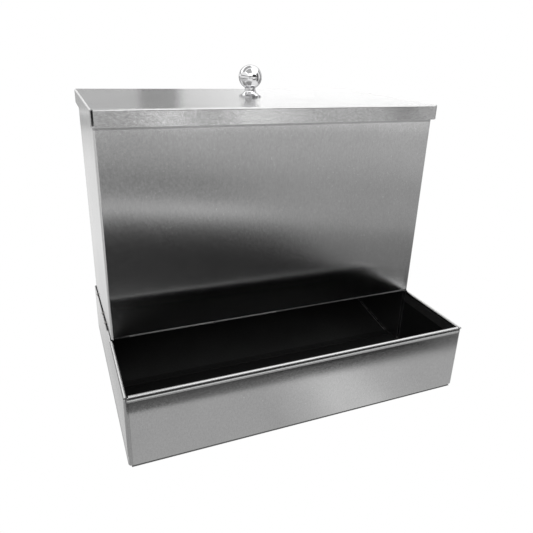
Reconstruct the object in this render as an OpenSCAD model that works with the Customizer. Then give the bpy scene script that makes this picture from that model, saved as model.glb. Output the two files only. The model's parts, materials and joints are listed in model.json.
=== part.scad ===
// Gravity feeder for poultry: a folded sheet-metal hopper stands in a shallow tray,
// and feed slides down a ramp into the open trough in front.
// Millimetres. Origin at the centre of the tray's underside, +Z up, trough towards -Y.

/* [Tray] */
// Outside width of the tray
tray_w = 400; // [300:1:600]
// Outside depth of the tray, front wall to back wall
tray_d = 296; // [280:1:420]
// Height of the trough rim above the ground
tray_h = 83.2; // [60:0.1:120]
// Open trough in front of the hopper, measured from the tray's front face
trough_d = 106; // [80:0.1:140]
// Height of the tray's plain wall at the back
back_wall_h = 66; // [50:1:75]
// Outer radius of the tray's corners and bottom edges
corner_r = 3; // [2:0.1:5]

/* [Sheet] */
// Thickness of every sheet
sheet = 1; // [0.6:0.1:1.2]
// Air gap left inside the open rim hem
hem_gap = 1.8; // [1:0.1:1.9]
// Straight length of the rim hem on the inside of the wall
hem_leg = 14; // [6:0.5:18]
// Length of closed side hem that runs on beside the hopper
closed_hem = 25; // [10:1:40]
// Clearance between sheets that slip past each other
slip = 0.1; // [0.05:0.01:0.3]

/* [Hopper] */
// Height of the hopper's top edge above the ground
hopper_h = 332; // [250:1:450]
// Radius of the hopper's four upright folds
hopper_r = 3; // [2:0.1:5]
// Height of the front panel's lower edge above the ground
outlet_h = 84; // [50:0.5:100]
// Length of the return folds behind the hopper's back panel
return_w = 18; // [12:1:30]
// Length of the hem behind the front panel's lower edge
panel_hem = 12; // [6:1:20]

/* [Ramp] */
// Distance of the ramp's toe behind the hopper's front panel
ramp_toe = 34; // [15:1:60]
// Length over which the lower part of the ramp rises
ramp_low_run = 86; // [40:1:95]
// Slope of the lower part of the ramp, degrees
ramp_low_a = 10; // [5:1:20]
// Slope of the upper part of the ramp, degrees
ramp_high_a = 40; // [30:1:50]

/* [Lid] */
// How far the lid stands out past the hopper's front
lid_over_front = 6.5; // [4:0.1:15]
// How far the lid stands out past the hopper's back
lid_over_back = 28.4; // [4:0.1:35]
// Clearance between the lid's side flanges and the hopper
lid_gap = 0.6; // [0.4:0.1:2]
// Height of the lid's flanges
lid_flange = 17; // [10:1:30]
// Outer radius of the lid's folds
lid_r = 2; // [1.5:0.1:4]
// Width of the open slit at each corner of the lid
lid_slit = 3; // [1.5:0.1:5]

/* [Knob] */
// Diameter of the ball
ball_d = 28.4; // [20:0.1:40]
// Height of the knob above the lid
knob_h = 37.3; // [32:0.1:60]
// Diameter of the flared rosette
rosette_d = 26.8; // [20:0.1:34]
// Height of the rosette
rosette_h = 7; // [5:0.1:10]
// Diameter of the neck between rosette and ball
neck_d = 13.2; // [10:0.1:16]
// Diameter of the screw that holds the knob
screw_d = 4; // [3:0.1:6]

/* [Hidden] */
$fn = 64;
// a little extra so that cutters pass right through
over = 1;

// tray
half_w = tray_w / 2;
half_d = tray_d / 2;
// the walls stop at the centre of the rim's round
hem_r = sheet + hem_gap / 2;
wall_top = tray_h - hem_r;
// the side sheets meet the folded body where their corner rounds begin
joint_x = half_w - corner_r;
joint_gap = 0.05;
// the front hem stops short of the side hems
front_hem_half = half_w - 2 * hem_r - 1;
// the weld bead along each joint
bead_w = 2;
bead_t = 0.4;
tack_r = 1.7;

// hopper
hop_half_w = half_w - 2 * sheet - 2 * slip;
hop_front = -half_d + trough_d;
hop_back = half_d - sheet - 2 * slip;
hop_d = hop_back - hop_front;
hop_mid = (hop_back + hop_front) / 2;
// the sides stand clear of the round at the tray's bottom edge
hop_foot = sheet + corner_r - 0.5;
// the side sheets start this far behind the front panel below the outlet
side_notch = 8;
hem_fold_r = sheet + slip * 2;
back_y = hop_back - sheet - slip;

// ramp
ramp_half_w = joint_x - bead_w / 2 - 2 * slip;
toe_y = hop_front + ramp_toe;
toe_len = 8;
ramp_z0 = sheet + slip;
low_end_y = toe_y + ramp_low_run;
low_end_z = ramp_z0 + ramp_low_run * tan(ramp_low_a);
ramp_back_y = back_y - sheet - slip;
high_end_z = low_end_z + (ramp_back_y - sheet - low_end_y) * tan(ramp_high_a);
ramp_flange = 16;

// lid
lid_half_w = hop_half_w + lid_gap + sheet;
lid_front = hop_front - lid_over_front;
lid_back = hop_back + lid_over_back;
lid_mid = (lid_front + lid_back) / 2;
lid_half_d = (lid_back - lid_front) / 2;
lid_under = hopper_h + 0.3;
lid_top = lid_under + sheet;

// knob
ball_z = lid_top + knob_h - ball_d / 2;
hole_d = screw_d + 1;
bore_d = screw_d + 0.2;
washer_d = 12;
head_d = 8;
head_h = 2.8;
screw_reach = 16;
bore_depth = 20;

// ---- shared shapes ----

// a plan outline with rounded corners
module soft_plan(w, d, r) {
    square([w - 2 * r, d], center = true);
    square([w, d - 2 * r], center = true);
    for (sx = [-1, 1], sy = [-1, 1])
        translate([sx * (w / 2 - r), sy * (d / 2 - r)]) circle(r);
}

// a block standing on z = 0 with rounded upright corners and rounded bottom edges
module soft_block(w, d, h, r) {
    translate([0, 0, r]) linear_extrude(h - r) soft_plan(w, d, r);
    translate([-(w / 2 - r), -(d / 2 - r), 0]) cube([w - 2 * r, d - 2 * r, r + over]);
    for (sy = [-1, 1]) translate([0, sy * (d / 2 - r), r])
        rotate([0, 90, 0]) cylinder(h = w - 2 * r, r = r, center = true);
    for (sx = [-1, 1]) translate([sx * (w / 2 - r), 0, r])
        rotate([90, 0, 0]) cylinder(h = d - 2 * r, r = r, center = true);
    for (sx = [-1, 1], sy = [-1, 1])
        translate([sx * (w / 2 - r), sy * (d / 2 - r), r]) sphere(r);
}

// the tray's four walls and floor as one shell, inset by a given amount
module tray_inside(inset, h) {
    translate([0, 0, inset])
        soft_block(tray_w - 2 * inset, tray_d - 2 * inset, h, corner_r - inset);
}
module tray_shell() {
    difference() {
        tray_inside(0, wall_top);
        tray_inside(sheet, tray_h);
    }
}

// folded edge, fold up: a half ring with a straight leg on the right and a stub on the left
// that runs down into the sheet it belongs to
module fold_profile(r, leg, stub) {
    intersection() {
        difference() {
            circle(r);
            circle(r - sheet);
        }
        translate([-r, 0]) square([2 * r, r]);
    }
    translate([r - sheet, -leg]) square([sheet, leg + slip]);
    if (stub > 0) translate([-r, -stub]) square([sheet, stub + slip]);
}

// quarter bend of a sheet, from the +X side round to the +Y side
module quarter_bend(r) {
    intersection() {
        difference() {
            circle(r);
            circle(r - sheet);
        }
        square([r, r]);
    }
}

// everything above the side walls' top edge, which falls towards the back
module above_side_edge() {
    start = hop_front + closed_hem;
    translate([-tray_w, 0, 0]) rotate([90, 0, 90]) linear_extrude(2 * tray_w)
        polygon([[start, wall_top], [half_d, back_wall_h], [half_d + over, back_wall_h],
                 [half_d + over, tray_h + over], [start, tray_h + over]]);
}

// mirrors its children to the left-hand side
module left() {
    mirror([1, 0, 0]) children();
}

// ---- tray ----

// front wall, floor and back wall folded from one sheet, with the front rim hemmed inwards
module tray_body() {
    color("silver") {
        difference() {
            intersection() {
                tray_shell();
                translate([-(joint_x - joint_gap), -tray_d, -over])
                    cube([2 * (joint_x - joint_gap), 2 * tray_d, tray_h + 2 * over]);
            }
            translate([-half_w, half_d - corner_r, back_wall_h]) cube([tray_w, tray_d, tray_h]);
        }
        translate([-front_hem_half, -half_d + hem_r, wall_top])
            rotate([90, 0, 90]) linear_extrude(2 * front_hem_half)
                fold_profile(hem_r, hem_leg, 2 * sheet);
    }
}

// right side wall with its rounded edges and a rim hem whose open end shows at the front;
// beside the hopper the hem is pressed flat
module tray_side_right() {
    hem_end = hop_front - slip * 3;
    color("silver") {
        difference() {
            intersection() {
                tray_shell();
                translate([joint_x, -tray_d, -over])
                    cube([tray_w, 2 * tray_d, tray_h + 2 * over]);
            }
            above_side_edge();
        }
        difference() {
            translate([half_w - hem_r, hem_end, wall_top]) rotate([90, 0, 0])
                linear_extrude(hem_end + half_d) mirror([1, 0]) fold_profile(hem_r, hem_leg, 0);
            translate([0, -half_d - over, 0]) cube([half_w, sheet + slip + over, wall_top]);
        }
        translate([half_w - sheet, hop_front + closed_hem, tray_h - sheet - 2 * slip])
            rotate([90, 0, 0]) linear_extrude(hop_front + closed_hem - hem_end) {
                intersection() {
                    circle(sheet);
                    translate([-sheet, 0]) square([2 * sheet, sheet]);
                }
                translate([-sheet, -hem_leg]) square([2 * sheet, hem_leg + slip]);
            }
    }
}
module tray_side_left() {
    left() tray_side_right();
}

// weld bead inside the joint of side and body, down the front wall and along the floor
module seam_weld_right() {
    color("dimgray") intersection() {
        difference() {
            tray_inside(sheet, wall_top - sheet - over);
            tray_inside(sheet + bead_t, tray_h);
        }
        translate([joint_x - bead_w / 2, -tray_d, 0])
            cube([bead_w, tray_d + half_d - 14, wall_top - hem_leg - over]);
    }
}
module seam_weld_left() {
    left() seam_weld_right();
}

// ---- hopper ----

// front panel and both sides folded from one sheet, returned behind the back panel
module hopper_wrap() {
    color("gainsboro") {
        difference() {
            translate([0, hop_mid, hop_foot]) linear_extrude(hopper_h - hop_foot) difference() {
                soft_plan(2 * hop_half_w, hop_d, hopper_r);
                soft_plan(2 * (hop_half_w - sheet), hop_d - 2 * sheet, hopper_r - sheet);
                translate([-(hop_half_w - return_w), 0])
                    square([2 * (hop_half_w - return_w), hop_d]);
            }
            translate([-half_w, hop_front - over, -over])
                cube([tray_w, side_notch + over, outlet_h + hem_fold_r + over]);
        }
        translate([-(hop_half_w - hopper_r), hop_front + hem_fold_r, outlet_h + hem_fold_r])
            rotate([90, 0, 90]) linear_extrude(2 * (hop_half_w - hopper_r))
                mirror([0, 1]) fold_profile(hem_fold_r, panel_hem, 2 * sheet);
    }
}

// flat back panel in front of the return folds
module hopper_back() {
    color("gainsboro") translate([-(hop_half_w - hopper_r), back_y - sheet, hop_foot])
        cube([2 * (hop_half_w - hopper_r), sheet, hopper_h - hop_foot]);
}

// round weld marks on the back panel's inner face, in line with the return fold
module back_spots_right() {
    color("dimgray") for (z = [150 : 55 : 315])
        translate([hop_half_w - return_w / 2, back_y - sheet, z])
            rotate([90, 0, 0]) cylinder(h = 0.3, d = 5);
}
module back_spots_left() {
    left() back_spots_right();
}

// weld tacks that hold the tray's plain top edge to the hopper's side
module tray_tacks_right() {
    fall = (wall_top - back_wall_h) / (half_d - hop_front - closed_hem);
    color("dimgray") for (y = [9, 40, 110]) {
        edge_z = wall_top - fall * (y - hop_front - closed_hem) + 0.2;
        difference() {
            translate([half_w - sheet, y, edge_z]) sphere(tack_r);
            translate([hop_half_w - tray_w, y - tack_r, 0]) cube([tray_w, 2 * tack_r, tray_h + 9]);
            translate([half_w - sheet - slip / 2, y - tack_r, edge_z - 6])
                cube([6, 2 * tack_r, 6]);
        }
    }
}
module tray_tacks_left() {
    left() tray_tacks_right();
}

// ---- ramp ----

// sloping feed plate: toe on the floor, shallow part, steep part, flange on the back panel
module feed_ramp() {
    drop = sheet / cos(ramp_low_a);
    color("darkgray") translate([-ramp_half_w, 0, 0]) rotate([90, 0, 90])
        linear_extrude(2 * ramp_half_w) polygon([
            [toe_y - toe_len, ramp_z0], [toe_y, ramp_z0], [low_end_y, low_end_z],
            [ramp_back_y - sheet, high_end_z], [ramp_back_y, high_end_z],
            [ramp_back_y, high_end_z + ramp_flange], [ramp_back_y - sheet, high_end_z + ramp_flange],
            [ramp_back_y - sheet, high_end_z + sheet / cos(ramp_high_a)],
            [low_end_y - sheet * tan((ramp_high_a - ramp_low_a) / 2), low_end_z + drop],
            [toe_y, ramp_z0 + drop], [toe_y - toe_len, ramp_z0 + sheet]]);
}

// weld tacks between the ramp's edge and the hopper's side
module ramp_tacks_right() {
    color("dimgray") for (run = [0.15, 0.5, 0.85])
        translate([ramp_half_w, toe_y + side_notch + run * (ramp_low_run - side_notch),
                   ramp_z0 + 3 + run * ramp_low_run * tan(ramp_low_a)])
            rotate([0, 90, 0]) cylinder(h = hop_half_w - sheet - ramp_half_w, r = 2);
}
module ramp_tacks_left() {
    left() ramp_tacks_right();
}

// round weld marks along the ramp's upper flange
module ramp_spots() {
    color("dimgray") for (x = [-150 : 60 : 150])
        translate([x, ramp_back_y - sheet, high_end_z + ramp_flange * 0.6])
            rotate([90, 0, 0]) cylinder(h = 0.3, d = 5);
}

// ---- lid ----

// one long flange of the lid with its fold, along +X, seen from the corner where it starts
module lid_flange_strip(len) {
    rotate([90, 0, 90]) linear_extrude(len) {
        translate([-lid_r, lid_top - lid_r]) quarter_bend(lid_r);
        translate([-sheet, lid_top - lid_flange]) square([sheet, lid_flange - lid_r]);
    }
}

// flat top with four flanges folded down and an open slit at each corner
module lid_pan() {
    front_len = 2 * (lid_half_w - lid_slit);
    side_len = 2 * (lid_half_d - lid_r);
    color("lightgray") translate([0, lid_mid, 0]) difference() {
        union() {
            translate([-(lid_half_w - lid_r), -(lid_half_d - lid_r), lid_under])
                cube([2 * (lid_half_w - lid_r), 2 * (lid_half_d - lid_r), sheet]);
            for (turn = [0, 180]) rotate([0, 0, turn]) {
                translate([-front_len / 2, lid_half_d, 0]) lid_flange_strip(front_len);
                rotate([0, 0, 90]) translate([-side_len / 2, lid_half_w, 0])
                    lid_flange_strip(side_len);
            }
        }
        translate([0, 0, lid_under - over]) cylinder(h = sheet + 2 * over, d = hole_d);
    }
}

// ---- knob ----

// flared base of the knob
module knob_rosette() {
    flare = rosette_h;
    color("white") translate([0, lid_mid, lid_top]) rotate_extrude() difference() {
        translate([hole_d / 2, 0]) square([(rosette_d - hole_d) / 2, rosette_h]);
        translate([rosette_d / 2 + 0.6, flare + 1.6]) circle(flare);
    }
}

// ball turned in one piece with its neck, drilled from below for the screw
module knob_body() {
    color("white") translate([0, lid_mid, 0]) difference() {
        union() {
            translate([0, 0, ball_z]) sphere(d = ball_d);
            translate([0, 0, lid_top + rosette_h])
                cylinder(h = ball_z - lid_top - rosette_h, d = neck_d);
        }
        translate([0, 0, lid_top]) cylinder(h = bore_depth, d = bore_d);
    }
}

// washer under the lid
module knob_washer() {
    color("silver") translate([0, lid_mid, lid_under - sheet]) difference() {
        cylinder(h = sheet, d = washer_d);
        translate([0, 0, -over]) cylinder(h = sheet + 2 * over, d = hole_d);
    }
}

// screw that passes up through lid and rosette into the neck
module knob_screw() {
    color("silver") translate([0, lid_mid, lid_under - sheet - head_h]) difference() {
        union() {
            cylinder(h = head_h, d = head_d);
            cylinder(h = head_h + screw_reach, d = screw_d);
        }
        for (turn = [0, 90]) rotate([0, 0, turn])
            translate([-2.2, -0.5, -over]) cube([4.4, 1, over + 1.5]);
    }
}

tray_body();
tray_side_left();
tray_side_right();
seam_weld_left();
seam_weld_right();
hopper_wrap();
hopper_back();
back_spots_left();
back_spots_right();
tray_tacks_left();
tray_tacks_right();
feed_ramp();
ramp_tacks_left();
ramp_tacks_right();
ramp_spots();
lid_pan();
knob_rosette();
knob_body();
knob_washer();
knob_screw();
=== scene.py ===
import json
import math

import bpy
from mathutils import Matrix, Vector


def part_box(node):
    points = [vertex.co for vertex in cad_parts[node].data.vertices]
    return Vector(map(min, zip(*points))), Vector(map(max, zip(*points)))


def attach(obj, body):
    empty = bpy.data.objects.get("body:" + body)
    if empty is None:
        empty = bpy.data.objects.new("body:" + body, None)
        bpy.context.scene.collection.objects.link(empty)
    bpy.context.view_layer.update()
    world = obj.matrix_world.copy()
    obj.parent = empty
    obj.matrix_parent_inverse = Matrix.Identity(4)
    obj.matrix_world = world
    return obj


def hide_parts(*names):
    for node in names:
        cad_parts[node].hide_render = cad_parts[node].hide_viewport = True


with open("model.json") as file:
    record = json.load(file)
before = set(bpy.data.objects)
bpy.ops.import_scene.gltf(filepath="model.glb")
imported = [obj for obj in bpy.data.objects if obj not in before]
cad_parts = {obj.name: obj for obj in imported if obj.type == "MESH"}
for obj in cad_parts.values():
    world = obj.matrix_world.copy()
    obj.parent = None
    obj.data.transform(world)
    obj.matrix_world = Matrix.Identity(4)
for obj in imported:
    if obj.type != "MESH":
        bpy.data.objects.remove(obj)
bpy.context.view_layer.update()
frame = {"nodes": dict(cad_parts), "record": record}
MM = 0.001

# ---------------------------------------------------------------- camera
# from a perspective fit to the sheet edges: angles in degrees, place in metres, shift in image widths
SENSOR = 36.0
IMAGE = 533
FOCAL_PX = 522.9
YAW, PITCH, ROLL = 23.22, -21.56, 2.015
EYE = (-0.2364, -0.5687, 0.3947)
CENTRE_OFF = (-0.0071, -0.0296)


def make_camera():
    data = bpy.data.cameras.new("camera")
    data.sensor_width = SENSOR
    data.lens = FOCAL_PX * SENSOR / IMAGE
    data.shift_x, data.shift_y = CENTRE_OFF
    data.clip_start, data.clip_end = 0.01, 50
    cam = bpy.data.objects.new("camera", data)
    bpy.context.scene.collection.objects.link(cam)
    turn = (
        Matrix.Rotation(math.radians(-YAW), 4, "Z")
        @ Matrix.Rotation(math.radians(90 + PITCH), 4, "X")
        @ Matrix.Rotation(math.radians(ROLL), 4, "Z")
    )
    cam.matrix_world = Matrix.Translation(Vector(EYE)) @ turn
    bpy.context.scene.camera = cam


make_camera()

# ---------------------------------------------------------------- node helpers
# the colour sockets of a Mix node, which share their names with others
MIX_A, MIX_B, MIX_RESULT = 6, 7, 2


def new_material(name):
    """Empty material: its output node is the only one."""
    material = bpy.data.materials.new(name)
    material.use_nodes = True
    tree = material.node_tree
    tree.nodes.clear()
    return material, tree, add(tree, "ShaderNodeOutputMaterial")


def add(tree, kind, **values):
    """New node, its sockets or settings given by name."""
    node = tree.nodes.new(kind)
    for key, value in values.items():
        if key in node.inputs:
            node.inputs[key].default_value = value
        else:
            setattr(node, key, value)
    return node


def plug(tree, value, socket):
    """Link a socket, or set a plain value."""
    if isinstance(value, bpy.types.NodeSocket):
        tree.links.new(value, socket)
    else:
        socket.default_value = value


def stepped(tree, factor, stops):
    """Grey or colour that follows a factor through the stops."""
    node = add(tree, "ShaderNodeValToRGB")
    points = node.color_ramp.elements
    while len(points) > 1:
        points.remove(points[-1])
    for i, (position, level) in enumerate(stops):
        point = points[0] if i == 0 else points.new(position)
        point.position = position
        point.color = (level, level, level, 1) if isinstance(level, (int, float)) else (*level, 1)
    tree.links.new(factor, node.inputs["Fac"])
    return node.outputs["Color"]


def mixed(tree, factor, a, b, blend="MIX"):
    node = add(tree, "ShaderNodeMix", data_type="RGBA", blend_type=blend)
    plug(tree, factor, node.inputs["Factor"])
    plug(tree, a, node.inputs[MIX_A])
    plug(tree, b, node.inputs[MIX_B])
    return node.outputs[MIX_RESULT]


def sums(tree, operation, a, b):
    node = add(tree, "ShaderNodeMath", operation=operation)
    plug(tree, a, node.inputs[0])
    plug(tree, b, node.inputs[1])
    return node.outputs["Value"]


def mapped(tree, value, from_range, to_range):
    node = add(tree, "ShaderNodeMapRange")
    node.inputs["From Min"].default_value, node.inputs["From Max"].default_value = from_range
    node.inputs["To Min"].default_value, node.inputs["To Max"].default_value = to_range
    tree.links.new(value, node.inputs["Value"])
    return node.outputs["Result"]


def noise(tree, place, per_metre, detail, rough):
    """Noise with its own scale on each axis."""
    stretch = add(tree, "ShaderNodeMapping")
    stretch.inputs["Scale"].default_value = per_metre
    node = add(tree, "ShaderNodeTexNoise", Scale=1.0, Detail=detail, Roughness=rough)
    tree.links.new(place.outputs["Object"], stretch.inputs["Vector"])
    tree.links.new(stretch.outputs["Vector"], node.inputs["Vector"])
    return node.outputs["Fac"]


# ---------------------------------------------------------------- brushed steel
EDGE_RADIUS = 0.0009
# colour of the painted highlight along edges
EDGE_HIGHLIGHT = (0.82, 0.82, 0.82, 1)
FLECK = (0.9, 0.9, 0.9, 1)
BLOTCHES = (420, 420, 420)
CLOUDS = (14, 14, 14)
SPECKS = (520, 520, 520)
WAVES = (7, 7, 7)


def box_mask(tree, place, low, high):
    """1 inside a box in object space, 0 outside."""
    axes = add(tree, "ShaderNodeSeparateXYZ")
    tree.links.new(place.outputs["Object"], axes.inputs["Vector"])
    mask = None
    for axis, a, b in zip("XYZ", low, high):
        for limit, operation in ((a, "GREATER_THAN"), (b, "LESS_THAN")):
            test = sums(tree, operation, axes.outputs[axis], limit)
            mask = test if mask is None else sums(tree, "MULTIPLY", mask, test)
    return mask


def toned(tree, place, colour, rough, box):
    """Within a box, scale the colour by a share and add roughness.

    It stands in for contact shadow, and for reflections that the studio doesn't make.
    A share over 1 brightens.
    """
    low, high, share, added = box
    mask = box_mask(tree, place, low, high)
    scaled = add(tree, "ShaderNodeVectorMath", operation="SCALE")
    tree.links.new(colour, scaled.inputs[0])
    tree.links.new(mapped(tree, mask, (0.0, 1.0), (1.0, share)), scaled.inputs["Scale"])
    more = sums(tree, "MULTIPLY", mask, added)
    return scaled.outputs["Vector"], sums(tree, "ADD", rough, more)


def grained_colour(tree, place, fine, blotch, base, lines, soil):
    """Grain lines, small blotches and soft clouds."""
    dark = tuple(b * (1 - lines) for b in base)
    light = tuple(b * (1 + lines) for b in base)
    colour = stepped(tree, fine, [(0.28, dark), (0.72, light)])
    colour = mixed(tree, 1.0, colour, stepped(tree, blotch, [(0.3, 0.92), (0.7, 1.0)]), "MULTIPLY")
    cloud = noise(tree, place, CLOUDS, 3.0, 0.55)
    return mixed(tree, 1.0, colour, stepped(tree, cloud, [(0.3, 0.93 - soil), (0.7, 1.0)]), "MULTIPLY")


def edge_highlights(tree, colour, edge_light):
    """Painted highlight: bright where the rounded normal parts from the true one, which is along edges."""
    rounded = add(tree, "ShaderNodeBevel", Radius=EDGE_RADIUS)
    rounded.samples = 4
    true = add(tree, "ShaderNodeNewGeometry")
    facing = add(tree, "ShaderNodeVectorMath", operation="DOT_PRODUCT")
    tree.links.new(rounded.outputs["Normal"], facing.inputs[0])
    tree.links.new(true.outputs["Normal"], facing.inputs[1])
    lit_edge = stepped(tree, facing.outputs["Value"], [(0.72, edge_light), (0.96, 0.0)])
    return mixed(tree, lit_edge, colour, EDGE_HIGHLIGHT)


def flecked(tree, place, colour, flecks):
    """A few bright specks."""
    speck = noise(tree, place, SPECKS, 0.0, 0.5)
    return mixed(tree, stepped(tree, speck, [(0.79, 0.0), (0.83, flecks)]), colour, FLECK)


def scratched_normal(tree, place, fine, scratch, wave):
    """Bump of the scratches, then of the sheet's slight waviness."""
    scratches = add(tree, "ShaderNodeBump", Strength=scratch, Distance=0.0002)
    tree.links.new(fine, scratches.inputs["Height"])
    waves = add(tree, "ShaderNodeBump", Strength=wave, Distance=0.0012)
    tree.links.new(noise(tree, place, WAVES, 1.0, 0.4), waves.inputs["Height"])
    tree.links.new(scratches.outputs["Normal"], waves.inputs["Normal"])
    return waves.outputs["Normal"]


def brush_tangent(tree, place, along):
    """Tangent across the running direction, on the face."""
    across = add(tree, "ShaderNodeVectorMath", operation="CROSS_PRODUCT")
    across.inputs[1].default_value = along
    tree.links.new(place.outputs["Normal"], across.inputs[0])
    return across.outputs["Vector"]


def brushed(name, base, rough, grain, along, aniso=0.75, wave=0.25, soil=0.0, edge_light=0.5, flecks=0.3,
            lines=0.055, scratch=0.11, inside=()):
    """Brushed sheet. grain: scratches per metre on each axis; along: the way the scratches run."""
    material, tree, out = new_material(name)
    steel = add(tree, "ShaderNodeBsdfPrincipled", Metallic=1.0, Anisotropic=aniso)
    place = add(tree, "ShaderNodeTexCoord")
    fine = noise(tree, place, grain, 3.0, 0.65)
    blotch = noise(tree, place, BLOTCHES, 2.0, 0.6)
    colour = grained_colour(tree, place, fine, blotch, base, lines, soil)
    # a painted highlight along the edges, then a few bright specks
    colour = flecked(tree, place, edge_highlights(tree, colour, edge_light), flecks)
    roughness = mapped(tree, blotch, (0.3, 0.7), (rough * 0.88, rough * 1.14))
    for box in inside:
        colour, roughness = toned(tree, place, colour, roughness, box)
    tree.links.new(colour, steel.inputs["Base Color"])
    tree.links.new(roughness, steel.inputs["Roughness"])
    tree.links.new(scratched_normal(tree, place, fine, scratch, wave), steel.inputs["Normal"])
    tree.links.new(brush_tangent(tree, place, along), steel.inputs["Tangent"])
    tree.links.new(steel.outputs["BSDF"], out.inputs["Surface"])
    return material


def chrome(name):
    """Polished plating with faint smears."""
    material, tree, out = new_material(name)
    metal = add(tree, "ShaderNodeBsdfPrincipled", Metallic=1.0)
    metal.inputs["Base Color"].default_value = (0.80, 0.80, 0.81, 1)
    metal.inputs["Specular Tint"].default_value = (0.45, 0.45, 0.45, 1)
    place = add(tree, "ShaderNodeTexCoord")
    smears = add(tree, "ShaderNodeTexNoise", Scale=600.0, Detail=3.0, Roughness=0.6)
    tree.links.new(place.outputs["Object"], smears.inputs["Vector"])
    rough = mapped(tree, smears.outputs["Fac"], (0.45, 0.75), (0.03, 0.12))
    tree.links.new(rough, metal.inputs["Roughness"])
    bump = add(tree, "ShaderNodeBump", Strength=0.03, Distance=0.0001)
    tree.links.new(smears.outputs["Fac"], bump.inputs["Height"])
    tree.links.new(bump.outputs["Normal"], metal.inputs["Normal"])
    tree.links.new(metal.outputs["BSDF"], out.inputs["Surface"])
    return material


# ---------------------------------------------------------------- the object's materials
tray_lo, tray_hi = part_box("tray_body")
SIDE_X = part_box("tray_side_right")[1].x
PANEL_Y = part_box("hopper_wrap")[0].y
LID_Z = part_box("lid_pan")[0].z
RAMP_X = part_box("feed_ramp")[1].x
FRONT_Y = tray_lo.y
# just inside the tray's side and front walls, and just behind the hopper's front panel
IN_X = SIDE_X - 0.0008
IN_Y = FRONT_Y + 0.0011
BEHIND_PANEL = PANEL_Y + 0.004
# heights in the tray: top of the floor's shade, foot of the hems, foot of the rolls
FLOOR_Z, HEM_Z, ROLL_Z = 0.0025, 0.067, 0.079
# height of the front panel's lower edge
OUTLET_Z = 0.084

GREY = (0.60, 0.60, 0.60)
# the running direction leans a little, so that no face is square to it
RUN_UP, RUN_X = (0, 0.05, 1), (1, 0, 0.05)
UPRIGHT = (1000.0, 1000.0, 190.0)
ALONG_X = (190.0, 1000.0, 1000.0)
ALONG_LID = (320.0, 750.0, 750.0)

# each box, painted shade where the share is under 1 and a painted highlight where it is over 1: lowest
# corner, highest corner, share of the colour kept, roughness added
HOPPER_TONES = (
    # painted shadow: a dark line below the lid flange
    ((-SIDE_X, PANEL_Y - 0.002, LID_Z - 0.0033), (SIDE_X, PANEL_Y + 0.0023, LID_Z - 0.0005), 0.65, 0.0),
    # painted shade along the panel's lower edge, darker towards the right
    ((-0.08, PANEL_Y - 0.001, OUTLET_Z - 0.0005), (SIDE_X, PANEL_Y + 0.003, OUTLET_Z + 0.0026), 0.6, 0.0),
    ((0.0, PANEL_Y - 0.001, OUTLET_Z - 0.0005), (SIDE_X, PANEL_Y + 0.003, OUTLET_Z + 0.0026), 0.4, 0.0),
)
TRAY_TONES = (
    # painted shade on the inner walls, and on the floor
    ((-IN_X, IN_Y, FLOOR_Z), (IN_X, BEHIND_PANEL, HEM_Z), 0.22, 0.22),
    ((-IN_X, IN_Y, 0.0006), (IN_X, 0.0, FLOOR_Z), 0.2, 0.85),
    # front corners: a painted highlight on the right, painted shade on the left
    ((SIDE_X - 0.0016, FRONT_Y - 0.0002, 0.0), (SIDE_X + 0.001, FRONT_Y + 0.0022, ROLL_Z), 1.6, 0.0),
    ((-SIDE_X - 0.001, FRONT_Y - 0.0005, 0.0), (-SIDE_X + 0.0045, FRONT_Y + 0.0025, ROLL_Z), 0.8, 0.0),
    # painted shade on the hem legs along the front, and along the right side
    ((-IN_X, IN_Y, HEM_Z), (SIDE_X - 0.01, FRONT_Y + 0.008, ROLL_Z), 0.35, 0.22),
    ((SIDE_X - 0.01, IN_Y, HEM_Z), (IN_X, BEHIND_PANEL, ROLL_Z), 0.6, 0.22),
    # painted shade in the crease under the front roll, on the outer rim of the left side and on the inner
    # half of the front roll
    ((-0.1965, FRONT_Y - 0.0001, ROLL_Z - 0.0005), (0.1965, FRONT_Y + 0.0017, ROLL_Z + 0.0022), 0.22, 0.0),
    ((-SIDE_X - 0.001, FRONT_Y + 0.0001, ROLL_Z + 0.0015), (-SIDE_X + 0.0007, PANEL_Y, ROLL_Z + 0.0038),
     0.4, 0.0),
    ((-0.1955, FRONT_Y + 0.0017, ROLL_Z), (0.1955, FRONT_Y + 0.0042, ROLL_Z + 0.005), 0.55, 0.0),
)
RAMP_TONES = (
    # painted shade on the toe on the floor, and a painted highlight line along the right-hand edge
    ((-SIDE_X, -0.03, -0.001), (SIDE_X, -0.006, 0.01), 0.7, 0.0),
    ((RAMP_X - 0.0008, -0.0070, 0.0), (RAMP_X + 0.0012, 0.09, 0.05), 8.0, 0.0),
)
# painted shade on the welds in the trough, but not on those at the back
WELD_TONES = (((-0.198, -0.03, 0.0), (0.198, 0.09, 0.05), 0.2, 0.2),)

steel_hopper = brushed("steel_hopper", GREY, 0.17, UPRIGHT, RUN_UP, aniso=1.0, inside=HOPPER_TONES)
steel_tray = brushed("steel_tray", GREY, 0.18, UPRIGHT, RUN_UP, aniso=1.0, inside=TRAY_TONES)
steel_lid = brushed("steel_lid", GREY, 0.16, ALONG_LID, RUN_X, aniso=0.9, wave=0.5, lines=0.15,
                    flecks=0.4, scratch=0.3)
# the ramp's base colour is painted shade: far darker than steel, for the dark of the trough
steel_ramp = brushed("steel_ramp", (0.065, 0.065, 0.065), 0.65, ALONG_X, RUN_X, aniso=0.3, soil=0.2,
                     edge_light=0.0, flecks=0.0, inside=RAMP_TONES)
steel_weld = brushed("steel_weld", (0.38, 0.37, 0.36), 0.4, (900, 900, 900), RUN_UP, aniso=0.0, soil=0.3,
                     inside=WELD_TONES)
steel_fixing = brushed("steel_fixing", (0.55, 0.55, 0.55), 0.3, (500, 500, 500), RUN_UP, aniso=0.0)
knob_chrome = chrome("knob_chrome")

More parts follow.
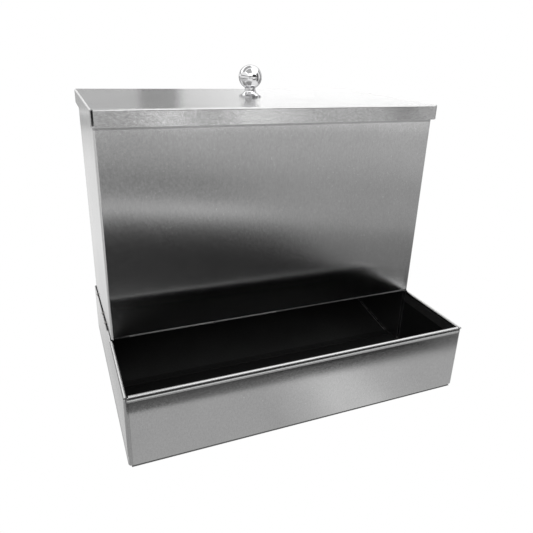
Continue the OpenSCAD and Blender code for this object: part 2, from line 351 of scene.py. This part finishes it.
SLOTS = {
    "tray_steel": steel_tray,
    "hopper_steel": steel_hopper,
    "lid_steel": steel_lid,
    "ramp_steel": steel_ramp,
    "weld": steel_weld,
    "knob_chrome": knob_chrome,
    "fixing_steel": steel_fixing,
}
for part in frame["record"]["subparts"]:
    node = frame["nodes"][part["node"]]
    node.data.materials.clear()
    node.data.materials.append(SLOTS[part["material_slot"]])

# ---------------------------------------------------------------- sheet-metal pieces, in millimetres
SHEET = 1.0
FOLD = 2.5
SHARP = math.radians(35)


def arc(cx, cy, r, a0, a1, n):
    """Points on an arc, angles in degrees."""
    turns = [math.radians(a0 + (a1 - a0) * i / n) for i in range(n + 1)]
    return [(cx + r * math.cos(a), cy + r * math.sin(a)) for a in turns]


def run(p, q, n):
    """Points from p towards q, without q."""
    return [(p[0] + (q[0] - p[0]) * i / n, p[1] + (q[1] - p[1]) * i / n) for i in range(n)]


def left_normals(path):
    """Unit normals on the left of a path."""
    out = []
    for i in range(len(path)):
        p, q = path[max(i - 1, 0)], path[min(i + 1, len(path) - 1)]
        dx, dy = q[0] - p[0], q[1] - p[1]
        k = math.hypot(dx, dy)
        out.append((-dy / k, dx / k))
    return out


def cell(column, row, rows):
    """Corners of one quad in a grid that is stored column by column."""
    a, b = column * rows + row, (column + 1) * rows + row
    return (a, b, b + 1, a + 1)


def swept(profile, xs):
    """Both skins of a profile in the YZ plane, carried along X."""
    face_a, face_b = [], []
    for x in xs:
        for (y, z), (ny, nz) in zip(profile, left_normals(profile)):
            face_a.append((x, y - ny * SHEET / 2, z - nz * SHEET / 2))
            face_b.append((x, y + ny * SHEET / 2, z + nz * SHEET / 2))
    return face_a, face_b


def closed_sheet(name, face_a, face_b, quads, material):
    """Closed piece from two matching skins; open borders are joined by a strip."""
    n = len(face_a)
    faces = list(quads) + [tuple(n + i for i in reversed(q)) for q in quads]
    edges = dict.fromkeys((i, j) for q in quads for i, j in zip(q, q[1:] + q[:1]))
    faces += [(j, i, n + i, n + j) for i, j in edges if (j, i) not in edges]
    used = sorted({i for f in faces for i in f})
    index = {v: k for k, v in enumerate(used)}
    verts = [Vector(v) * MM for v in (*face_a, *face_b)]
    mesh = bpy.data.meshes.new(name)
    mesh.from_pydata([verts[i] for i in used], [], [tuple(index[i] for i in f) for f in faces])
    mesh.validate()
    mesh.shade_smooth()
    mesh.set_sharp_from_angle(angle=SHARP)
    mesh.materials.append(material)
    piece = bpy.data.objects.new(name, mesh)
    bpy.context.scene.collection.objects.link(piece)
    return piece


def join(name, pieces):
    """One object out of several closed shells."""
    bpy.ops.object.select_all(action="DESELECT")
    for p in pieces:
        p.select_set(True)
    bpy.context.view_layer.objects.active = pieces[0]
    bpy.ops.object.join()
    pieces[0].name = name
    pieces[0].data.name = name
    return pieces[0]


# depth of the crease under the tray's front roll, and how the wall goes in: (drop below the roll, share)
CREASE = 0.9
GOES_IN = ((0.7, 0.0), (1.4, 0.03), (1.9, 0.15), (2.2, 0.55), (2.5, 0.92), (2.7, 1.0), (2.9, 0.98))
# how it comes back out in straight stretches: (drop at the end, share given back per millimetre)
COMES_OUT = ((3.9, 0.372), (5.5, 0.304))
# rows this far from a stretch's ends keep the smooth shading near its bends
SOFT = 0.2
FADES_OUT = ((5.7, 0.105), (7.3, 0.0))


def crease():
    """(drop, share of the crease's depth) from the roll down to the plain wall."""
    points = list(GOES_IN)
    for end, slope in COMES_OUT:
        drop, share = points[-1]
        points += [(d, share - slope * (d - drop)) for d in (drop + SOFT, end - SOFT, end)]
    return points + list(FADES_OUT)


def tray_profile(lo, hi):
    """Middle line of the tray's sheet: hem, front roll, front wall, floor and back wall."""
    front, back = lo.y + SHEET / 2, hi.y - SHEET / 2
    roll, leg_z, wall_back = 1.4, 67.3, 66.0
    rim_z, floor_z = hi.z - roll - SHEET / 2, lo.z + SHEET / 2
    path = run((front + 2 * roll, leg_z), (front + 2 * roll, rim_z), 4)
    path += arc(front + roll, rim_z, roll, 0, 180, 18)
    hem_rows = len(path)
    path += [(front + CREASE * share, rim_z - drop) for drop, share in crease()]
    path += run((front, rim_z - 10), (front, floor_z + FOLD), 6)
    path += arc(front + FOLD, floor_z + FOLD, FOLD, 180, 270, 8)
    path += run((front + FOLD + 1, floor_z), (back - FOLD, floor_z), 10)
    path += arc(back - FOLD, floor_z + FOLD, FOLD, -90, 0, 8)
    path += run((back, floor_z + FOLD + 1), (back, wall_back), 4) + [(back, wall_back)]
    return path, hem_rows


def tray_sheet():
    """Front wall, floor and back wall of the tray, with the rolled rim along the front."""
    lo, hi = (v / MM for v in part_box("tray_body"))
    path, hem_rows = tray_profile(lo, hi)
    hem_half, steps = 195.2, 40
    xs = [-hi.x] + [hem_half * (2 * i / steps - 1) for i in range(steps + 1)] + [hi.x]
    face_a, face_b = swept(path, xs)
    rows, last = len(path), len(xs) - 2
    quads = []
    for c in range(last + 1):
        # the hem stops short of both ends
        first = hem_rows - 1 if c in (0, last) else 0
        quads += [cell(c, r, rows) for r in range(first, rows - 1)]
    return closed_sheet("tray_sheet", face_a, face_b, quads, steel_tray)


# the hopper's return folds and the clear height under its front panel; the front panel's hollow
RETURN, LIP_Z = 18.0, OUTLET_Z / MM
DISH = 0.55


def hopper_outline(lo, hi):
    """Middle line of the wrap from above: left return and side, front panel, right side and return."""
    side, front, back = hi.x - SHEET / 2, lo.y + SHEET / 2, hi.y - SHEET / 2
    notch_y = lo.y + 8
    path = run((-side + RETURN, back), (-side + FOLD, back), 3)
    path += arc(-side + FOLD, back - FOLD, FOLD, 90, 180, 8)
    path += run((-side, back - FOLD - 1), (-side, notch_y), 14)
    path += run((-side, notch_y), (-side, front + FOLD), 2)
    path += arc(-side + FOLD, front + FOLD, FOLD, 180, 270, 8)
    path += run((-side + FOLD + 1, front), (side - FOLD, front), 48)
    path += arc(side - FOLD, front + FOLD, FOLD, 270, 360, 8)
    path += run((side, front + FOLD + 1), (side, notch_y), 2)
    path += run((side, notch_y), (side, back - FOLD), 14)
    path += arc(side - FOLD, back - FOLD, FOLD, 0, 90, 8)
    path += run((side - FOLD - 1, back), (side - RETURN, back), 3) + [(side - RETURN, back)]
    return path, notch_y


def dish(x, z, side, top_z):
    """How far the front panel is drawn in: a shallow hollow, and a bead along its lower edge."""
    u, v = x / side, (z - LIP_Z) / (top_z - LIP_Z)
    edge = min(1.0, max(0.0, 1 - abs(u)) * 30)
    bead = min(1.0, max(0.0, (z - LIP_Z - 0.5) / 2.2))
    hollow = (1 - u * u) * 4 * v * (1 - v) * (0.7 + 0.3 * u)
    return DISH * (edge * bead * (1 - v) + hollow)


def hopper_wrap(lo, hi):
    """The wrap itself; ahead of the notch it starts at the outlet's height."""
    path, notch_y = hopper_outline(lo, hi)
    side, front, top_z = hi.x - SHEET / 2, lo.y + SHEET / 2, hi.z
    below = [lo.z, 30.0, 60.0]
    close = [LIP_Z + h for h in (0.0, 0.3, 0.5, 0.9, 1.6, 2.3, 2.7, 3.4, 5, 8, 12)]
    zs = below + close + [LIP_Z + 18 + 10 * i for i in range(23)] + [top_z]
    rows = len(zs)
    face_a, face_b, quads = [], [], []
    for (x, y), (nx, ny) in zip(path, left_normals(path)):
        for z in zs:
            d = dish(x, z, side, top_z) if y < front + 0.01 and z >= LIP_Z else 0.0
            face_a.append((x - nx * SHEET / 2, y - ny * SHEET / 2 + d, z))
            face_b.append((x + nx * SHEET / 2, y + ny * SHEET / 2 + d, z))
    for c in range(len(path) - 1):
        ahead = min(path[c][1], path[c + 1][1]) < notch_y - 0.01
        quads += [cell(c, r, rows) for r in range(len(below) if ahead else 0, rows - 1)]
    return closed_sheet("hopper_sheet", face_a, face_b, quads, steel_hopper)


def hopper_hem(lo):
    """The sheet turned up inside the front panel."""
    half, leg, gap, columns = 192.0, 12.0, 0.4, 25
    front, roll = lo.y + SHEET / 2, (SHEET + gap) / 2
    profile = arc(front + roll, LIP_Z + roll, roll, 182, 360, 10) + [(front + 2 * roll, LIP_Z + leg)]
    xs = [half * (2 * i / (columns - 1) - 1) for i in range(columns)]
    face_a, face_b = swept(profile, xs)
    rows = len(profile)
    quads = [cell(c, r, rows)[::-1] for c in range(columns - 1) for r in range(rows - 1)]
    return closed_sheet("hopper_hem", face_a, face_b, quads, steel_hopper)


def hopper_sheet():
    """Front panel and sides in one wrap, slightly dished, with the folded hem over the outlet."""
    lo, hi = (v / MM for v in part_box("hopper_wrap"))
    return join("hopper_sheet", [hopper_wrap(lo, hi), hopper_hem(lo)])


for piece, node in ((tray_sheet(), "tray_body"), (hopper_sheet(), "hopper_wrap")):
    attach(piece, "feeder")
    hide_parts(node)


# ---------------------------------------------------------------- studio, in metres
def glow(name, strength):
    """Plain light surface."""
    material, tree, out = new_material(name)
    light = add(tree, "ShaderNodeEmission", Color=(1, 1, 1, 1), Strength=strength)
    tree.links.new(light.outputs["Emission"], out.inputs["Surface"])
    return material


def graded(name, direction, span, stops, gain=1.0):
    """Light surface whose brightness follows the stops along a direction."""
    material, tree, out = new_material(name)
    place = add(tree, "ShaderNodeTexCoord")
    along = add(tree, "ShaderNodeVectorMath", operation="DOT_PRODUCT")
    along.inputs[1].default_value = direction
    tree.links.new(place.outputs["Object"], along.inputs[0])
    lo, hi = span
    factor = mapped(tree, along.outputs["Value"], span, (0.0, 1.0))
    level = stepped(tree, factor, [((p - lo) / (hi - lo), v) for p, v in stops])
    light = add(tree, "ShaderNodeEmission", Strength=gain)
    tree.links.new(level, light.inputs["Color"])
    tree.links.new(light.outputs["Emission"], out.inputs["Surface"])
    return material


def card(name, corners, material, seen=False, lights=False):
    """Stage card: in reflections only, or if seen in the camera's view only; lights adds diffuse rays."""
    mesh = bpy.data.meshes.new(name)
    mesh.from_pydata([Vector(c) for c in corners], [], [(0, 1, 2, 3)])
    mesh.materials.append(material)
    stage = bpy.data.objects.new(name, mesh)
    bpy.context.scene.collection.objects.link(stage)
    stage.visible_camera = seen
    stage.visible_glossy = not seen
    stage.visible_diffuse = lights
    stage.visible_shadow = False
    stage.visible_transmission = False


def plain_card(name, corners, strength, **rays):
    card(name, corners, glow(name, strength), **rays)


def graded_card(name, corners, direction, span, stops, gain=1.0, **rays):
    card(name, corners, graded(name, direction, span, stops, gain), **rays)


def flat(x0, x1, y0, y1, z):
    return [(x0, y0, z), (x1, y0, z), (x1, y1, z), (x0, y1, z)]


def wall(x0, x1, y, z0, z1):
    return [(x0, y, z0), (x1, y, z0), (x1, y, z1), (x0, y, z1)]


def side_wall(x, y0, y1, z0, z1):
    return [(x, y0, z0), (x, y1, z0), (x, y1, z1), (x, y0, z1)]


# half the room's width, its ceiling, and where the floor near the tray meets the ground in front
ROOM, CEILING = 3.0, 2.4
NEAR_EDGE = FRONT_Y - 0.080
ALONG_FLOOR_X, ALONG_FLOOR_Y, UPWARDS = (1, 0, 0), (0, 1, 0), (0, 0, 1)
# away from the tray towards the front and right
AWAY = (0.442, -0.897, 0)
AWAY_SPAN = (0, 3.2)
ROOM_SPAN = (-ROOM, ROOM)
BARELY_LIT = 0.02


def lay_floor():
    """White floor for the camera; graded floors for reflections."""
    plain_card("floor", flat(-9, 9, -9, 9, 0), 1.0, seen=True)
    meets = FRONT_Y + 0.02
    # its front edge runs slightly askew to the tray
    front_edge = [(-ROOM, NEAR_EDGE - 0.036, 0.0004), (ROOM, NEAR_EDGE + 0.040, 0.0004)]
    near = front_edge + [(ROOM, meets, 0.0004), (-ROOM, meets, 0.0004)]
    graded_card("floor_near", near, ALONG_FLOOR_X, (-1, 1), [
        (-1.0, 0.6), (-0.3, 0.56), (-0.03, 0.58), (0.01, 0.69), (0.045, 0.87), (0.08, 0.84), (0.12, 0.67),
        (0.18, 0.59), (1.0, 0.6)], lights=True)
    graded_card("floor_back", flat(-ROOM, ROOM, meets, ROOM, 0.0003), ALONG_FLOOR_Y, (-0.2, 3.0), [
        (-0.2, 0.62), (0.05, 0.66), (0.2, 0.90), (0.5, 1.0), (1.3, 0.95), (1.9, 0.78), (2.2, 0.50),
        (2.5, 0.58), (2.68, 0.84), (2.8, 0.55), (3.0, 0.50)], gain=1.08, lights=True)
    # ground in front: dark, then a light streak lying across, then mid grey, lighter far away
    graded_card("floor_front", flat(-0.42, ROOM, -ROOM, NEAR_EDGE + 0.05, 0.0002), AWAY, AWAY_SPAN, [
        (0.0, 0.13), (0.16, 0.12), (0.22, 0.095), (0.27, 0.050), (0.38, 0.040), (0.44, 0.045), (0.49, 0.065),
        (0.54, 0.11), (0.59, 0.24), (0.64, 0.48), (0.69, 0.75), (0.80, 0.34), (0.95, 0.29), (1.20, 0.42),
        (1.50, 0.52), (2.0, 0.47), (2.30, 0.50), (2.45, 0.80), (3.2, 0.84)], lights=True)
    graded_card("floor_front_right", flat(0.24, ROOM, -ROOM, NEAR_EDGE + 0.05, 0.0003), AWAY, AWAY_SPAN, [
        (0.0, 0.14), (0.25, 0.10), (0.33, 0.12), (0.42, 0.26), (0.50, 0.29), (0.58, 0.34), (0.66, 0.45),
        (0.80, 0.47), (1.0, 0.47), (1.2, 0.54), (1.5, 0.60), (2.0, 0.58), (2.2, 0.67), (2.4, 0.78),
        (3.2, 0.79)], lights=True)


def lay_far_patches():
    """Two bright patches and one dark slanting one, far out in front, and the ground on the left."""
    near_y, far_y, z = -2.10, -2.98, 0.0009
    for k, (x0, x1) in enumerate(((0.25, 0.50), (0.75, 1.12))):
        plain_card("far_patch_%d" % k, flat(x0, x1, far_y, near_y, z), 3.2)
    slanted = [(1.60, near_y, z), (1.78, near_y, z), (2.47, far_y, z), (2.23, far_y, z)]
    plain_card("far_dark_floor", slanted, BARELY_LIT)
    plain_card("far_dark_wall", wall(2.23, 2.47, -ROOM + 0.03, 0, 0.6), BARELY_LIT)
    plain_card("floor_left", flat(-ROOM, -0.42, -ROOM, NEAR_EDGE, 0.0003), 0.9, lights=True)


def build_walls():
    graded_card("room_back", wall(-ROOM, ROOM, ROOM, 0, 1.0), ALONG_FLOOR_X, ROOM_SPAN, [
        (-3.0, 0.8), (-0.16, 0.8), (-0.10, 0.33), (0.31, 0.33), (0.36, 0.13), (0.56, 0.15), (0.64, 0.53),
        (1.02, 0.68), (1.15, 1.0), (3.0, 1.0)], gain=1.6)
    plain_card("room_back_low", wall(-ROOM, -0.12, ROOM - 0.01, 0, 0.30), 0.57)
    plain_card("room_back_mid", wall(-ROOM, ROOM, ROOM, 1.0, 1.5), 0.35)
    plain_card("room_back_high", wall(-ROOM, ROOM, ROOM, 1.5, CEILING), 1.8)
    graded_card("room_left", side_wall(-ROOM, -ROOM, ROOM, 0, CEILING), UPWARDS, (0, CEILING), [
        (0, 0.9), (0.7, 0.9), (0.75, 0.25), (1.0, 0.2), (1.05, 1.0), (2.4, 1.0)])
    graded_card("room_right", side_wall(ROOM, -ROOM, ROOM, 0, CEILING), ALONG_FLOOR_Y, ROOM_SPAN, [
        (-3, 0.12), (-1.2, 0.15), (-1.0, 0.9), (0.0, 1.0), (0.2, 0.3), (1.0, 0.25), (1.1, 1.0), (3, 1.0)])
    graded_card("room_front", wall(-ROOM, ROOM, -ROOM, 0, CEILING), UPWARDS, (0, CEILING), [
        (0, 0.45), (0.45, 0.4), (0.55, 0.22), (1.1, 0.22), (1.3, 0.9), (2.4, 1.0)], gain=2.0)
    plain_card("room_front_dark", wall(0.2, 2.6, -ROOM + 0.02, 0.5, 1.9), 0.03)


def build_ceiling():
    plain_card("room_top_front", flat(-ROOM, ROOM, -ROOM, 0.3, CEILING), 1.7, lights=True)
    plain_card("room_top_rear", flat(-ROOM, 0.5, 0.3, 2.0, CEILING), 0.45, lights=True)
    plain_card("room_top_rear_right", flat(0.5, ROOM, 0.3, 2.0, CEILING), 1.5, lights=True)
    plain_card("room_top_last", flat(-ROOM, ROOM, 2.0, ROOM, CEILING), 1.9)
    plain_card("top_grey", flat(-2.2, 0.05, -2.4, 0.1, CEILING - 0.01), 0.5)


def lay_contact():
    """Ground beside the tray's left wall, for reflections, with a painted shadow darkening it towards the
    wall; and the contact shadow at its front foot.
    """
    start, end = -SIDE_X - 0.012, -SIDE_X
    strip = flat(start, end, tray_lo.y, tray_hi.y, 0.0006)
    # painted shadow: darker towards the wall
    graded_card("floor_left_strip", strip, ALONG_FLOOR_X, (start, end), [
        (-0.209, 0.98), (-0.2050, 0.82), (-0.2020, 0.62), (-0.2005, 0.36)], lights=True)
    foot = flat(tray_lo.x, tray_hi.x - 0.0005, FRONT_Y - 0.0006, FRONT_Y + 0.004, 0.0002)
    plain_card("contact_front", foot, 0.10, seen=True)


def place_stand():
    """Dark shapes of a stand in front, which the knob mirrors."""
    plain_card("stand_low", wall(-0.66, -0.50, -1.2, 0.05, 0.42), 0.08)
    plain_card("stand_high", wall(-0.52, -0.40, -1.2, 0.55, 0.72), 0.08)
    plain_card("stand_arm", wall(-0.80, -0.30, -1.25, 0.44, 0.49), 0.1)


def white_world():
    world = bpy.data.worlds.new("studio")
    bpy.context.scene.world = world
    world.use_nodes = True
    background = world.node_tree.nodes["Background"]
    background.inputs["Color"].default_value = (1, 1, 1, 1)
    background.inputs["Strength"].default_value = 1.0
    bpy.context.scene.view_settings.view_transform = "Standard"


lay_floor()
lay_far_patches()
build_walls()
build_ceiling()
lay_contact()
place_stand()
white_world()
